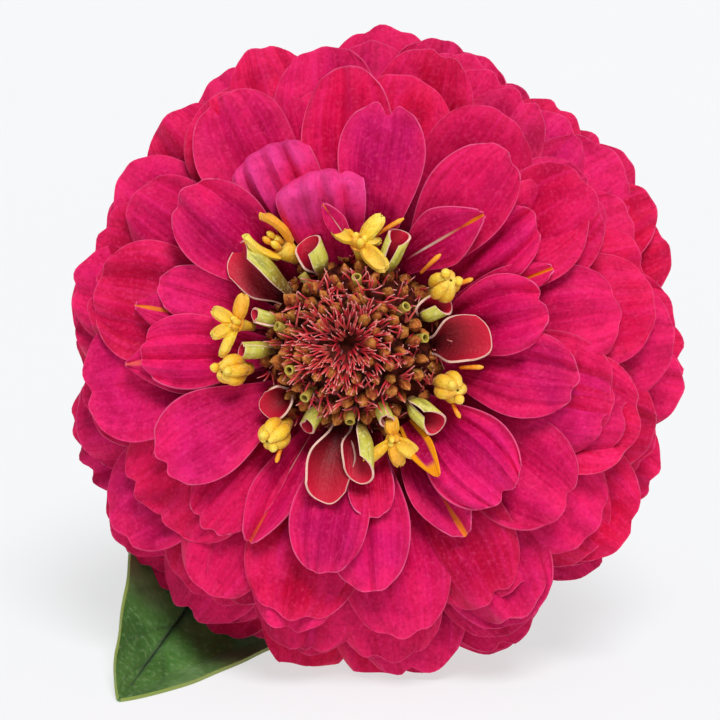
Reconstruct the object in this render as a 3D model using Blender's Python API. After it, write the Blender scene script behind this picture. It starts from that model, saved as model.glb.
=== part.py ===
"""A double zinnia, cut with its stem and one leaf, lying on its side.

Lengths are millimetres and angles are degrees until solid_object() makes metres of them.
The head frame has its origin on the flower's axis at the foot of the receptacle: x points right
and y up as seen from the front, and z points out of the flower along its axis.
The world frame has +Z up, and its origin under the middle of the whole flower, on the ground.
The head leans on the tips of its rim petals, and the stem on its cut end.
"""

import math

import bpy
import numpy as np

MM = 0.001

# Driving dimensions
HEAD_TILT = 15.0  # the flower's axis points this far above the horizontal
HEAD_FOOT = np.array([0.0, -47.3, 35.88])  # the head frame's origin in the world
STEM_LENGTH = 130.6  # from the head's foot to the cut end
STEM_RADIUS = 2.2
STEM_OUTLINE = ((7.0, 2.9), (10.0, 2.7), (18.0, 2.3), (30.0, STEM_RADIUS), (STEM_LENGTH, STEM_RADIUS))
PETAL_THICKNESS = 0.4
ROW_THICKNESS = 0.6

# The receptacle: (height, radius) up its outline, and where the petals start around it
RECEPTACLE_OUTLINE = ((-6.5, 2.6), (-5.0, 4.6), (-3.0, 6.6), (0.0, 8.0), (10.0, 7.9), (19.0, 7.4))
PETAL_ROOT_RADIUS = 8.5

# Closed rows below the inner petals, top to bottom: (tip radius, tip height, root height, petals)
PETAL_ROWS = (
    (32.5, 19.5, 13.4, 16),
    (35.3, 15.8, 11.4, 16),
    (36.9, 12.0, 9.4, 17),
    (37.5, 8.0, 7.4, 17),
    (37.3, 4.0, 5.4, 18),
    (36.0, 0.2, 3.4, 18),
    (33.5, -3.2, 1.6, 18),
)
ROW_ARCH = 2.2
LOBE_DEPTH = 4.5
ROW_TALLER = 1.04  # the rows are this much taller than wide

# Inner petals: (angle, tip radius, half width, level), levels counted up from the lowest
INNER_PETALS = (
    (12.0, 25.5, 4.6, 2),
    (33.0, 26.8, 4.6, 1),
    (43.0, 24.0, 3.2, 0),
    (53.0, 29.5, 4.8, 2),
    (78.0, 28.7, 5.2, 3),
    (93.0, 30.5, 5.0, 0),
    (105.0, 18.5, 4.0, 4),
    (115.0, 25.2, 4.8, 1),
    (142.0, 26.2, 5.4, 2),
    (162.0, 23.4, 3.8, 0),
    (186.0, 25.3, 4.9, 1),
    (215.0, 25.6, 5.4, 2),
    (228.0, 27.6, 4.8, 0),
    (238.0, 26.5, 2.4, 1),
    (268.0, 27.8, 5.0, 2),
    (282.0, 29.3, 4.8, 1),
    (304.0, 26.8, 2.6, 0),
    (323.0, 26.5, 5.6, 2),
    (349.0, 29.0, 5.4, 1),
)
INNER_ROOT_HEIGHT = 15.2
INNER_TIP = (28.0, 21.0)  # radius and height that the lowest level reaches
INNER_ARCH = 2.0
LEVEL_STEP_ROOT = 0.72
LEVEL_STEP_TIP = 1.22
PETAL_CUP = 0.2

# Young ray florets, still rolled, around the disc: (angle, tip radius, length, half width, half curl)
YOUNG_RAYS = (
    (1.0, 18.0, 9.4, 2.3, 50.0),
    (21.0, 11.8, 4.6, 1.3, 100.0),
    (60.0, 13.4, 6.4, 1.3, 95.0),
    (111.0, 12.0, 5.0, 1.4, 100.0),
    (142.0, 13.6, 5.6, 1.8, 75.0),
    (162.0, 11.2, 4.4, 1.0, 120.0),
    (187.0, 11.6, 4.6, 1.1, 120.0),
    (219.0, 12.0, 4.8, 1.4, 100.0),
    (244.0, 11.2, 4.4, 1.0, 120.0),
    (260.0, 16.6, 7.6, 1.5, 60.0),
    (278.0, 13.8, 6.0, 1.4, 80.0),
    (300.0, 11.2, 4.4, 1.0, 120.0),
    (318.0, 13.4, 5.8, 1.4, 90.0),
)
RAY_ROOT = (10.6, 20.4)  # radius and height of their roots

# Open yellow disc florets outside the young rays. A floret's outline is (share of its height,
# share of its size, depth of the clefts between its five lobes).
FLORET_OUTLINE = ((0.0, 0.30, 0.0), (0.5, 0.34, 0.0), (0.8, 0.80, 0.1), (1.0, 1.0, 0.25), (1.08, 0.5, 0.3))
FLORET_FOOT_IN = 1.3  # a yellow floret's foot is this far inside its radius
FLORET_FOOT_HEIGHT = 21.7
FLORET_TOP_OUT = 0.5  # and its top this far outside
FLORET_TOP_HEIGHT = 25.3
# (angle, radius, size)
YELLOW_FLORETS = (
    (32.0, 14.6, 1.9),
    (81.0, 13.6, 2.2),
    (126.0, 15.6, 2.0),
    (168.0, 14.6, 1.9),
    (195.0, 14.6, 1.8),
    (231.0, 14.6, 1.9),
    (297.0, 14.8, 2.0),
    (338.0, 14.2, 1.9),
)

# Disc: (height, radius) up the outline of the dense dome of florets, with its central pit
DISC_OUTLINE = ((19.4, 8.4), (23.0, 8.2), (25.6, 6.8), (27.6, 4.4), (28.2, 2.4), (26.4, 1.2))

# The leaf's midrib in the world, from the stem to the tip, with y measured from the head's foot
LEAF_MIDRIB = (
    (-3.8, 26.0, 28.9),
    (-19.0, 22.0, 12.0),
    (-25.0, -12.0, 2.5),
    (-27.5, -33.0, 0.3),
)
LEAF_HALF_WIDTH = 15.5
LEAF_THICKNESS = 0.5
LEAF_TILT = 36.0  # the blade leans this far onto its right edge near the tip
LEAF_FOLD_LEFT = 15.0  # how far each half rises out of the blade's plane
LEAF_FOLD_RIGHT = 8.0
LEAF_LEFT_SHARE = 0.9  # the left half is a little narrower than the right
LEAF_CLEAR = 0.05  # the underside's least height over the ground


def smooth_step(value):
    """Goes from 0 to 1 with level ends as value does."""
    value = min(max(value, 0.0), 1.0)
    return value * value * (3.0 - 2.0 * value)


def bezier(points, t):
    a, b, c, d = (np.array(point, float) for point in points)
    s = 1.0 - t
    return s**3 * a + 3 * s * s * t * b + 3 * s * t * t * c + t**3 * d


def polar(radius, angle, height):
    """A point of the head frame from its radius, angle and height."""
    turn = math.radians(angle)
    return np.array([radius * math.cos(turn), radius * math.sin(turn), height])


def head_to_world(point):
    tilt = math.radians(HEAD_TILT)
    x, y, z = point
    return HEAD_FOOT + np.array(
        [x, y * math.sin(tilt) - z * math.cos(tilt), y * math.cos(tilt) + z * math.sin(tilt)]
    )


def clear_scene():
    for obj in list(bpy.data.objects):
        bpy.data.objects.remove(obj, do_unlink=True)


def material(name, colour, roughness):
    found = bpy.data.materials.get(name)
    if found:
        return found
    made = bpy.data.materials.new(name)
    made.use_nodes = True
    shader = made.node_tree.nodes["Principled BSDF"]
    shader.inputs["Base Color"].default_value = (*colour, 1.0)
    shader.inputs["Roughness"].default_value = roughness
    shader.inputs["Metallic"].default_value = 0.0
    made.diffuse_color = (*colour, 1.0)
    return made


def facing_out(points, faces):
    """The faces, turned round where they enclose a negative volume."""
    volume = 0.0
    for face in faces:
        first = points[face[0]]
        for second, third in zip(face[1:-1], face[2:]):
            volume += np.dot(first, np.cross(points[second], points[third]))
    return faces if volume > 0 else [face[::-1] for face in faces]


def solid_object(name, points, faces, finish):
    """Makes one object of points in world millimetres and closed faces."""
    points = [np.array(point, float) for point in points]
    mesh = bpy.data.meshes.new(name)
    mesh.from_pydata([point * MM for point in points], [], facing_out(points, faces))
    mesh.validate()
    mesh.shade_smooth()
    mesh.set_sharp_from_angle(angle=math.radians(50.0))
    mesh.materials.append(finish)
    obj = bpy.data.objects.new(name, mesh)
    bpy.context.scene.collection.objects.link(obj)
    return obj


def grid_normals(grid, closed):
    """A unit normal at each point of a grid, whose second direction may close on itself."""
    along = np.gradient(grid, axis=0)
    if closed:
        across = np.roll(grid, -1, axis=1) - np.roll(grid, 1, axis=1)
    else:
        across = np.gradient(grid, axis=1)
    normals = np.cross(along, across)
    return normals / np.linalg.norm(normals, axis=2, keepdims=True)


def sheet_solid(grid, thickness, closed=False):
    """Gives a grid of points a thickness: (points, faces) of one closed solid."""
    grid = np.array(grid, float)
    rows, columns, _ = grid.shape
    offset = grid_normals(grid, closed) * thickness / 2
    points = np.concatenate([(grid + offset).reshape(-1, 3), (grid - offset).reshape(-1, 3)])
    under = rows * columns

    def at(row, column):
        return row * columns + column % columns

    faces = []
    spans = columns if closed else columns - 1
    for row in range(rows - 1):
        for column in range(spans):
            quad = (
                at(row, column),
                at(row, column + 1),
                at(row + 1, column + 1),
                at(row + 1, column),
            )
            faces.append(quad)
            faces.append(tuple(under + corner for corner in reversed(quad)))
    for column in range(spans):
        first, last = at(0, column), at(rows - 1, column)
        second, beyond = at(0, column + 1), at(rows - 1, column + 1)
        faces.append((second, first, under + first, under + second))
        faces.append((last, beyond, under + beyond, under + last))
    if not closed:
        for row in range(rows - 1):
            left, next_left = at(row, 0), at(row + 1, 0)
            right, next_right = at(row, columns - 1), at(row + 1, columns - 1)
            faces.append((left, next_left, under + next_left, under + left))
            faces.append((next_right, right, under + right, under + next_right))
    return points, faces


def turned_solid(rings):
    """Closes a stack of rings, each a list of points, with a flat cap at both ends."""
    sides = len(rings[0])
    points = [point for ring in rings for point in ring]
    faces = []
    for level in range(len(rings) - 1):
        for side in range(sides):
            start, end = level * sides, (level + 1) * sides
            step = (side + 1) % sides
            faces.append((start + side, start + step, end + step, end + side))
    faces.append(tuple(reversed(range(sides))))
    faces.append(tuple(range((len(rings) - 1) * sides, len(rings) * sides)))
    return points, faces


def turned_about_axis(outline, sides):
    """Rings in the world from an outline of (height, radius) about the flower's axis."""
    return [
        [head_to_world(polar(radius, 360.0 * side / sides, height)) for side in range(sides)]
        for height, radius in outline
    ]


def receptacle_radius(height):
    heights, radii = zip(*RECEPTACLE_OUTLINE)
    return float(np.interp(height, heights, radii))


def make_receptacle():
    points, faces = turned_solid(turned_about_axis(RECEPTACLE_OUTLINE, 24))
    solid_object("receptacle", points, faces, material("receptacle_green", (0.42, 0.50, 0.24), 0.6))


def make_involucre():
    """The cup of green bracts under the petals, with a scalloped rim."""
    gap, wall, bracts, steps = 0.75, 1.0, 12, 3
    heights = (-6.3, -4.6, -2.8, -0.9, 0.4)
    grid = []
    for level, height in enumerate(heights):
        ring = []
        for column in range(bracts * steps):
            phase = 2 * math.pi * column / steps
            lift = 0.35 * (math.cos(phase) - 1.0) * (level == len(heights) - 1)
            radius = receptacle_radius(height) + gap + wall / 2 + 0.4 * level / len(heights)
            ring.append(head_to_world(polar(radius, 360.0 * column / (bracts * steps), height + lift)))
        grid.append(ring)
    points, faces = sheet_solid(grid, wall, closed=True)
    solid_object("involucre", points, faces, material("bract_green", (0.20, 0.32, 0.10), 0.6))


def row_grid(tip_radius, tip_height, root_height, petals):
    """One closed ring of petals, joined at their sides: each lobe of its rim is a petal's tip."""
    steps, spans = 4, 3
    grid = []
    for span in range(spans + 1):
        reach = span / spans
        ring = []
        for column in range(petals * steps):
            lobe = 2.0 * abs((column % steps) / steps - 0.5)  # 1 between petals, 0 on a midline
            rim = tip_radius - LOBE_DEPTH * lobe**1.5
            radius = PETAL_ROOT_RADIUS + (rim - PETAL_ROOT_RADIUS) * reach
            share = (radius - PETAL_ROOT_RADIUS) / (tip_radius - PETAL_ROOT_RADIUS)
            height = root_height + (tip_height - root_height) * share
            height += ROW_ARCH * math.sin(math.pi * share) - 0.5 * lobe * reach
            # Two lobes stand either side of the lowest point, so that the head rests on both.
            angle = -90.0 + 360.0 * column / (petals * steps)
            point = polar(radius, angle, height)
            point[1] *= 1.0 + (ROW_TALLER - 1.0) * share
            ring.append(head_to_world(point))
        grid.append(ring)
    return grid


def make_petal_rows():
    crimson = material("petal_crimson", (0.62, 0.012, 0.075), 0.55)
    for number, row in enumerate(PETAL_ROWS, start=2):
        points, faces = sheet_solid(row_grid(*row), ROW_THICKNESS, closed=True)
        solid_object(f"petal_row_{number}", points, faces, crimson)


def inner_height(radius, level):
    """Height of the inner petals' middle surface, by radius and level."""
    share = (radius - PETAL_ROOT_RADIUS) / (INNER_TIP[0] - PETAL_ROOT_RADIUS)
    rise = INNER_ROOT_HEIGHT + (INNER_TIP[1] - INNER_ROOT_HEIGHT) * share
    step = LEVEL_STEP_ROOT + (LEVEL_STEP_TIP - LEVEL_STEP_ROOT) * min(share, 1.0)
    return rise + INNER_ARCH * math.sin(math.pi * min(share, 1.0)) + level * step


def petal_width(reach):
    """Share of the petal's half width at a share of its length: a narrow foot and a round end."""
    widest = 0.66
    if reach < widest:
        return 0.28 + 0.72 * smooth_step(reach / widest)
    return math.sqrt(max(1.0 - ((reach - widest) / (1.04 - widest)) ** 2, 0.0))


def make_inner_petal(number, angle, tip_radius, half_width, level):
    spans, columns = 7, 5
    length = tip_radius - PETAL_ROOT_RADIUS
    turn = math.radians(angle)
    outward = np.array([math.cos(turn), math.sin(turn), 0.0])
    sideways = np.array([-math.sin(turn), math.cos(turn), 0.0])
    grid = []
    for span in range(spans + 1):
        reach = span / spans
        row = []
        for column in range(columns):
            across = 2.0 * column / (columns - 1) - 1.0
            notch = 0.5 * (1.0 - abs(across)) * (span == spans)
            flat = outward * (PETAL_ROOT_RADIUS + length * reach - notch)
            flat = flat + sideways * half_width * petal_width(reach) * across
            height = inner_height(math.hypot(flat[0], flat[1]), level) - PETAL_CUP * across**2 * reach
            row.append(head_to_world(flat + np.array([0.0, 0.0, height])))
        grid.append(row)
    points, faces = sheet_solid(grid, PETAL_THICKNESS)
    magenta = material("petal_magenta", (0.66, 0.02, 0.17), 0.5)
    solid_object(f"inner_petal_{number:02d}", points, faces, magenta)


def make_young_ray(number, angle, tip_radius, length, half_width, half_curl):
    """A scoop or tube, hollow towards the disc, that leans out to its tip radius."""
    spans, columns = 4, 7
    root_radius, root_height = RAY_ROOT
    lean = math.acos((tip_radius - root_radius) / length)
    turn = math.radians(angle)
    outward = np.array([math.cos(turn), math.sin(turn), 0.0])
    sideways = np.array([-math.sin(turn), math.cos(turn), 0.0])
    up = np.array([0.0, 0.0, 1.0])
    along = outward * math.cos(lean) + up * math.sin(lean)
    inward = up * math.cos(lean) - outward * math.sin(lean)
    root = outward * root_radius + up * root_height
    grid = []
    for span in range(spans + 1):
        reach = span / spans
        curve = half_width * (0.5 + 0.5 * smooth_step(reach * 1.4))
        row = []
        for column in range(columns):
            across = 2.0 * column / (columns - 1) - 1.0
            bend = math.radians(half_curl) * across
            flat = curve / max(math.sin(math.radians(min(half_curl, 90.0))), 0.5)
            point = root + along * length * (reach - 0.12 * across**2 * reach)
            point = point + sideways * flat * math.sin(bend) + inward * flat * (1.0 - math.cos(bend))
            row.append(head_to_world(point))
        grid.append(row)
    points, faces = sheet_solid(grid, PETAL_THICKNESS)
    rosy = material("young_ray_rose", (0.50, 0.03, 0.07), 0.55)
    solid_object(f"young_ray_{number:02d}", points, faces, rosy)


def make_yellow_floret(number, angle, radius, size):
    """A small bell with five lobes, leaning outwards."""
    sides = 20
    foot = polar(radius - FLORET_FOOT_IN, angle, FLORET_FOOT_HEIGHT)
    top = polar(radius + FLORET_TOP_OUT, angle, FLORET_TOP_HEIGHT)
    axis = (top - foot) / np.linalg.norm(top - foot)
    height = np.linalg.norm(top - foot)
    first = polar(1.0, angle + 90.0, 0.0)
    second = np.cross(axis, first)
    rings = []
    for share, width, star in FLORET_OUTLINE:
        ring = []
        for side in range(sides):
            turn = 2 * math.pi * side / sides
            reach = size * width * (1.0 - star * (1.0 - math.cos(5 * turn)) / 2)
            point = foot + axis * height * share
            ring.append(head_to_world(point + reach * (first * math.cos(turn) + second * math.sin(turn))))
        rings.append(ring)
    points, faces = turned_solid(rings)
    yellow = material("floret_yellow", (0.85, 0.55, 0.05), 0.5)
    solid_object(f"yellow_floret_{number}", points, faces, yellow)


def make_disc():
    points, faces = turned_solid(turned_about_axis(DISC_OUTLINE, 28))
    solid_object("disc_florets", points, faces, material("disc_russet", (0.33, 0.07, 0.04), 0.6))


def make_stem():
    """A tube from under the receptacle straight back to the ground, thicker just under the head."""
    outline = [(-distance, radius) for distance, radius in STEM_OUTLINE]
    points, faces = turned_solid(turned_about_axis(outline, 14))
    solid_object("stem", points, faces, material("stem_green", (0.22, 0.33, 0.10), 0.6))


def leaf_width(reach):
    """Share of the leaf's half width at a share of its length: an ovate blade with a point."""
    return (0.16 + 0.84 * smooth_step(reach / 0.4)) * (1.0 - reach**3) ** 0.8


def leaf_point(reach, across):
    """A point on the leaf's middle surface; across runs from -1 at the right edge to 1 at the left."""
    middle = bezier(LEAF_MIDRIB, reach)
    ahead = bezier(LEAF_MIDRIB, min(reach + 0.01, 1.0)) - bezier(LEAF_MIDRIB, max(reach - 0.01, 0.0))
    ahead = ahead / np.linalg.norm(ahead)
    turned = smooth_step(reach / 0.8)
    tilt = math.radians(LEAF_TILT)
    face = np.array([0.0, -1.0, 0.0]) * (1.0 - turned)
    face = face + np.array([math.sin(tilt), 0.0, math.cos(tilt)]) * turned
    face = face - ahead * np.dot(face, ahead)
    face = face / np.linalg.norm(face)
    left = np.cross(ahead, face)
    width = LEAF_HALF_WIDTH * leaf_width(reach) * abs(across)
    if across > 0:
        side, fold, width = left, LEAF_FOLD_LEFT, width * LEAF_LEFT_SHARE
    else:
        side, fold = -left, LEAF_FOLD_RIGHT
    fold = math.radians(fold) * smooth_step(reach / 0.3)
    point = middle + width * (side * math.cos(fold) + face * math.sin(fold))
    point = point + np.array([0.0, HEAD_FOOT[1], 0.0])
    point[2] = max(point[2], LEAF_CLEAR + LEAF_THICKNESS / 2)
    return point


def make_leaf():
    spans, columns = 12, 9
    grid = []
    for span in range(spans + 1):
        reach = 0.985 * span / spans
        grid.append([leaf_point(reach, 2.0 * column / (columns - 1) - 1.0) for column in range(columns)])
    points, faces = sheet_solid(grid, LEAF_THICKNESS)
    solid_object("leaf", points, faces, material("leaf_green", (0.09, 0.20, 0.05), 0.5))


def main():
    clear_scene()
    make_receptacle()
    make_involucre()
    make_petal_rows()
    for number, petal in enumerate(INNER_PETALS, start=1):
        make_inner_petal(number, *petal)
    for number, ray in enumerate(YOUNG_RAYS, start=1):
        make_young_ray(number, *ray)
    for number, floret in enumerate(YELLOW_FLORETS, start=1):
        make_yellow_floret(number, *floret)
    make_disc()
    make_stem()
    make_leaf()


main()
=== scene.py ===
import math
import random
from dataclasses import dataclass

import bpy
import numpy as np
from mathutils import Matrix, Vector


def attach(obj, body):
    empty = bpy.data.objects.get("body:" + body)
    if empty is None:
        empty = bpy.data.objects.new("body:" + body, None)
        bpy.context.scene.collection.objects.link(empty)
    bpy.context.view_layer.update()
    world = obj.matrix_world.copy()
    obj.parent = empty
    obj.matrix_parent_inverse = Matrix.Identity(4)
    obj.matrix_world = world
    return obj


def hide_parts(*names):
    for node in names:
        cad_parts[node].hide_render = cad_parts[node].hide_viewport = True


# The looks of a double zinnia lying on its side. Lengths are millimetres and angles are degrees
# until Shape.piece() makes metres of them. The head frame has its origin on the flower's axis at
# the foot of the receptacle: x right and y up as seen from the front, z out of the flower.

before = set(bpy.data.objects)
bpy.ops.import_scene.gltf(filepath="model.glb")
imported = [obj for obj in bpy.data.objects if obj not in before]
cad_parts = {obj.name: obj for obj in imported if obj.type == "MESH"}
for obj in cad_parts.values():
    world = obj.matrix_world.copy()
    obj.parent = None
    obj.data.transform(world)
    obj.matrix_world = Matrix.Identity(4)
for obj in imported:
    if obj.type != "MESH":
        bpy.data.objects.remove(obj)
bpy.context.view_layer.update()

MM = 0.001
UP = np.array([0.0, 0.0, 1.0])

# Driving dimensions. They are the CAD model's, but the lower outer rows are up to 0.3 mm wider and all
# rows a little taller, and the leaf's halves are a little wider.
HEAD_TILT = math.radians(15.0)
HEAD_FOOT = np.array([0.0, -47.3, 35.88])
STEM_LENGTH = 130.6
STEM_OUTLINE = ((7.0, 2.9), (10.0, 2.7), (18.0, 2.3), (30.0, 2.2), (STEM_LENGTH, 2.2))
RECEPTACLE_OUTLINE = ((-6.5, 2.6), (-5.0, 4.6), (-3.0, 6.6), (0.0, 8.0), (10.0, 7.9), (19.0, 7.4))
PETAL_ROOT_RADIUS = 8.5
# Rows below the inner petals, top to bottom: (tip radius, tip height, root height, petals)
PETAL_ROWS = (
    (32.5, 19.5, 13.4, 16),
    (35.3, 15.8, 11.4, 16),
    (37.1, 12.0, 9.4, 17),
    (37.8, 8.0, 7.4, 17),
    (37.6, 4.0, 5.4, 18),
    (36.2, 0.2, 3.4, 18),
    (33.5, -3.2, 1.6, 18),
)
ROW_ARCH = 2.2
ROW_ABOVE = (29.4, 20.8, 14.6, 16)  # where a row above the first would be
ROW_TALLER = 1.055  # the rows are this much taller than wide
INNER_ROOT_HEIGHT = 15.2
INNER_TIP = (28.0, 21.0)
INNER_ARCH = 2.0
LEVEL_STEP_ROOT = 0.72
LEVEL_STEP_TIP = 1.22
DISC_OUTLINE = ((19.4, 8.4), (23.0, 8.2), (25.6, 6.8), (27.6, 4.4), (28.2, 2.4), (26.4, 1.2))
LEAF_MIDRIB = ((-3.8, 26.0, 28.9), (-18.0, 22.0, 12.0), (-23.4, -12.0, 2.5), (-26.2, -33.0, 0.3))
LEAF_HALF_WIDTH = 15.5
LEAF_TILT = math.radians(36.0)
LEAF_FOLD_LEFT = math.radians(15.0)
LEAF_FOLD_RIGHT = math.radians(8.0)
LEAF_RIGHT_SHARE = 1.07  # the right half is a little wider than the left

# Looks only
PETAL_THICKNESS = 0.3
RAY_THICKNESS = 0.26
LEAF_THICKNESS = 0.45
STEM_TOP = 6.0  # the stem reaches this far under the head, into the cup of bracts
GROUND_CLEAR = 0.3  # least height of a sheet's middle over the ground
GOLDEN_ANGLE = 137.508
BETWEEN_ROWS = 6  # petals that stand between one outer row and the next

# The camera, as the orbit around a point on the flower's axis
CAMERA_AZIMUTH = 8.2
CAMERA_ELEVATION = 12.8
CAMERA_DISTANCE = 0.42
CAMERA_LENS = 172.0
CAMERA_AIM_HEIGHT = 8.0  # the aimed point's height in the head frame
CAMERA_SHIFT_RIGHT = -0.9  # how far the aim moves from that point across the view
CAMERA_SHIFT_UP = -1.1


@dataclass
class Petal:
    """One open petal. Its blade runs straight, seen from the front, from its root to its tip."""

    angle: float  # of its tip around the axis
    tip: float  # radius of its tip
    half_width: float
    level: float = 0.0  # inner petals: how far up the stack it lies
    # Above 1 it also paints a highlight: the curled petals' ends are drawn lighter, as if turned up to the
    # light.
    tone: float = 0.5  # 0 crimson, 1 magenta
    notches: tuple = ()  # (place across from -1 to 1, depth) of clefts in its end
    folds: float = 0.3  # depth of its lengthwise folds
    fold_count: float = 2.5
    cup: float = -0.3  # how far its side edges rise
    droop: float = 0.8  # how far its end bends down
    twist: float = 0.0  # how far one side edge rises and the other sinks
    root_angle: float = None  # where its root is around the axis, if not at its tip's angle
    root: float = PETAL_ROOT_RADIUS
    widest: float = 0.64  # share of its length where it is widest
    foot: float = 0.3  # its width at the root, as a share
    point: float = 0.0  # 0 for a round end, 1 for a pointed one
    stripe: float = 0.0  # strength of a pale and orange midline
    crease: float = 0.0  # depth of a sharp fold along its midline
    curl: float = 0.0  # radius of an end that rolls under, if any


# The 19 inner petals, in the order of the CAD nodes
INNER_PETALS = (
    Petal(13.2, 23.9, 4.8, 2.6, 0.60, notches=((0.25, 0.9),), folds=0.68, fold_count=1.8, cup=0.5),
    Petal(39.0, 26.7, 5.1, 1.0, 0.65, notches=((-0.55, 0.5), (0.5, 0.7)), folds=0.75, cup=0.4,
          root_angle=33.0),
    Petal(45.5, 22.2, 3.5, 4.3, 0.62, folds=0.1, cup=0.7, root_angle=62.0, root=11.5, point=0.75,
          stripe=1.0, crease=0.6, widest=0.5, foot=0.5, droop=0.0),
    Petal(53.0, 29.6, 5.2, 2.2, 0.35, notches=((-0.35, 0.7),), folds=0.51, cup=0.5, droop=0.6),
    Petal(81.5, 29.0, 5.2, 3.4, 0.95, notches=((0.0, 1.7),), folds=0.3, fold_count=1.6, cup=0.4,
          droop=0.3, widest=0.7),
    Petal(93.4, 32.2, 5.6, 0.3, 0.20, folds=0.68, cup=0.3, droop=1.0),
    Petal(103.0, 20.9, 5.4, 5.6, 1.30, folds=0.63, fold_count=3.0, cup=-0.6, curl=1.8, foot=0.5),
    Petal(116.0, 26.0, 5.2, 1.9, 1.20, folds=0.75, fold_count=2.6, cup=-0.5, curl=2.0, foot=0.4),
    Petal(139.5, 27.3, 5.3, 2.6, 0.80, notches=((0.5, 0.4),), folds=0.75, fold_count=1.8, cup=0.9,
          twist=0.4),
    Petal(163.0, 24.5, 3.5, 1.6, 0.70, folds=0.2, cup=0.8, twist=-0.3),
    Petal(184.0, 25.5, 4.5, 1.6, 0.70, notches=((-0.4, 0.5),), folds=0.63, cup=0.7),
    Petal(213.5, 26.8, 5.4, 2.6, 0.85, notches=((0.1, 0.9),), folds=0.63, fold_count=2.2, cup=0.8),
    Petal(231.7, 28.3, 4.8, 0.2, 0.30, notches=((-0.3, 0.8), (0.35, 0.5)), folds=0.75, cup=0.3),
    Petal(244.7, 26.3, 2.9, 1.5, 0.60, folds=0.1, cup=0.9, stripe=0.6, crease=1.5, point=0.55,
          droop=0.2),
    Petal(265.7, 27.2, 4.7, 2.6, 0.95, notches=((0.1, 0.3),), folds=0.54, cup=0.5, droop=0.4),
    Petal(278.0, 29.2, 5.1, 1.3, 0.80, folds=0.68, cup=0.5, droop=0.6),
    Petal(302.8, 26.2, 3.4, 0.9, 0.85, folds=0.1, cup=0.6, stripe=0.8, crease=1.0, point=0.35,
          droop=0.2),
    Petal(319.5, 25.9, 5.5, 2.5, 0.90, notches=((-0.05, 0.9),), folds=0.90, fold_count=3.0, cup=0.6),
    Petal(352.4, 27.3, 5.2, 1.4, 0.80, notches=((-0.3, 0.4),), folds=0.75, fold_count=2.4, cup=0.5),
)

# Small petals between the young rays and the inner petals
SMALL_PETALS = (
    Petal(171.0, 26.6, 3.6, 0.9, 0.60, folds=0.1, stripe=0.8, crease=0.4, point=0.85, droop=0.0),
    Petal(186.8, 27.4, 4.0, 0.6, 0.60, folds=0.2, point=1.0, stripe=0.3, droop=0.3),
    Petal(23.0, 25.6, 2.3, 1.2, 0.50, folds=0.1, stripe=1.0, crease=0.9, point=0.4, droop=0.0),
    Petal(280.5, 20.6, 2.8, 2.9, 0.05, folds=0.12, cup=0.6, root=10.5, foot=0.6, droop=0.2),
)

# Narrow magenta rays with an orange edge, beside the yellow florets
EDGED_RAYS = (
    Petal(307.0, 18.9, 1.6, 5.6, 0.9, folds=0.05, cup=0.5, root=11.2, point=0.8, droop=0.0,
          foot=0.6, widest=0.45),
    Petal(101.5, 16.8, 1.2, 7.4, 0.8, folds=0.05, cup=0.4, root=12.6, root_angle=93.0,
          point=0.6, droop=0.0, foot=0.6, widest=0.45, stripe=1.0),
)


@dataclass
class Ray:
    """A young ray floret, still rolled. Curls are the half angles that its section turns through."""

    angle: float
    root: float  # radius of its root
    tip: float  # radius of its tip
    rise: float  # how much higher its tip is than its root
    half_widths: tuple  # of the blade's left and right halves, unrolled
    left: tuple  # curl of the left half (counterclockwise), at the root and at the tip
    right: tuple
    spin: float = 0.0  # turn of the section about the floret's own length
    trim: float = 0.15  # how much shorter its edges are than its middle, as a share of its length
    taper: float = 0.0  # how much its end narrows


YOUNG_RAYS = (
    Ray(2.6, 9.8, 16.8, 2.6, (3.9, 2.8), (120, 22), (36, 22), taper=0.1, trim=0.24),
    Ray(24.0, 9.3, 12.8, 2.2, (3.9, 3.6), (175, 128), (195, 190), spin=-15, trim=0.25),
    Ray(67.0, 9.6, 14.8, 2.6, (3.4, 3.6), (172, 158), (172, 150), trim=0.16),
    Ray(114.0, 9.8, 13.6, 2.2, (2.6, 5.4), (110, 80), (205, 195), trim=0.18),
    Ray(143.0, 9.8, 18.0, 2.0, (3.3, 6.0), (40, 28), (190, 165), taper=0.1, trim=0.2),
    Ray(164.0, 9.4, 12.2, 2.0, (2.4, 2.6), (165, 160), (205, 205), spin=-50, trim=0.1),
    Ray(184.0, 9.4, 13.3, 1.6, (2.9, 3.1), (165, 160), (205, 205), spin=50, trim=0.1),
    Ray(219.5, 9.2, 13.0, 1.8, (3.2, 2.6), (150, 96), (110, 62), trim=0.3),
    Ray(244.0, 8.6, 11.3, 2.0, (2.9, 3.1), (165, 160), (205, 205), spin=60, trim=0.12),
    Ray(263.5, 9.6, 18.7, 3.4, (3.0, 3.8), (40, 25), (120, 22), taper=0.2, trim=0.16),
    Ray(277.5, 9.8, 16.2, 3.6, (5.4, 2.6), (180, 165), (62, 30), taper=0.1, trim=0.25),
    Ray(299.5, 8.4, 10.5, 2.8, (2.5, 2.7), (165, 160), (205, 205), spin=150, trim=0.04),
    Ray(319.0, 9.8, 14.6, 2.2, (4.2, 4.2), (178, 150), (190, 190), spin=15, trim=0.3),
)
RAY_ROOT_HEIGHT = 21.2

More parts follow.
